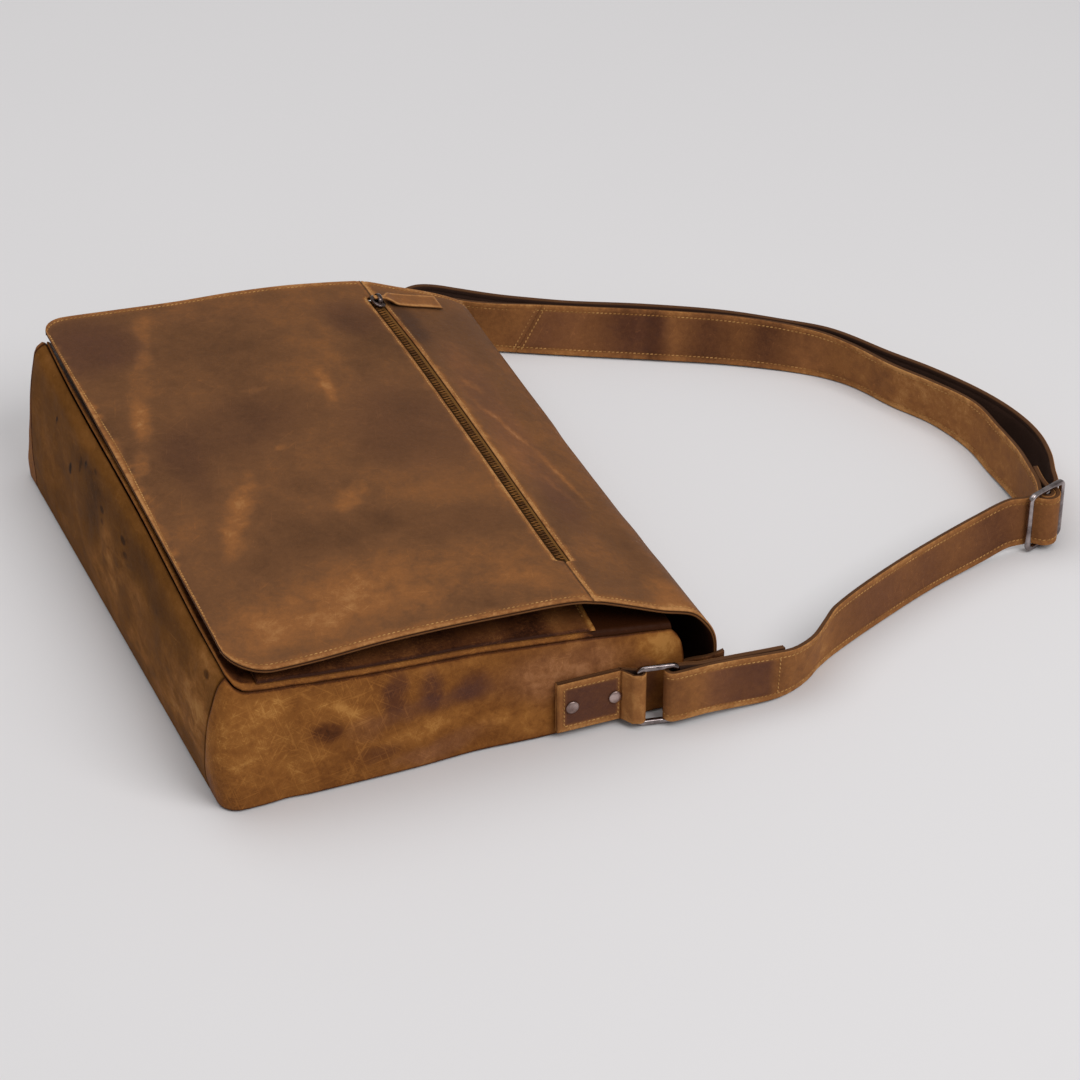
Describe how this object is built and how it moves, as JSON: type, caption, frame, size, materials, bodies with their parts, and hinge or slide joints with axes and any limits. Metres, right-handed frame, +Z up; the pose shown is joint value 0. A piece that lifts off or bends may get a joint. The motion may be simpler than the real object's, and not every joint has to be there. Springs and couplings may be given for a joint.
{
  "type": "laptop bag",
  "caption": "Leather laptop bag lying on its back: soft hollow body, wide zipped flap closed over a front pocket, and a shoulder strap on rings with a sliding adjuster.",
  "frame": {"origin": "middle of the back panel, on the surface that the bag lies on", "axes": "+X from the base to the mouth, +Y from the near gusset to the far one, +Z up, away from the back panel"},
  "size_m": [0.6018, 0.4739, 0.1037],
  "materials": {
    "flap_leather": "oiled and distressed, dark brown with tan scuffs",
    "body_leather": "oiled and distressed, tan brown with fine scratches",
    "base_leather": "oiled, olive brown with a few dark specks",
    "strap_leather": "oiled brown with purple-brown bands and light stitching",
    "zip_tape": "golden brown tape and coil",
    "metal": "worn gunmetal"
  },
  "bodies": {
    "root": {"back_panel": "body_leather", "base_panel": "base_leather", "gusset_near": "body_leather", "gusset_far": "body_leather", "front_panel": "body_leather", "front_pocket": "body_leather", "flap_yoke": "flap_leather", "flap_panel": "flap_leather", "flap_zip": "zip_tape", "zip_slider": "metal", "zip_pull": "flap_leather", "strap_long": "strap_leather", "strap_short": "strap_leather", "strap_slider": "metal", "mouth_tab": "strap_leather", "strap_tab_near": "strap_leather", "strap_tab_far": "strap_leather", "ring_near": "metal", "ring_far": "metal", "rivet_near_1": "metal", "rivet_near_2": "metal", "rivet_far_1": "metal", "rivet_far_2": "metal"}
  },
  "joints": []
}
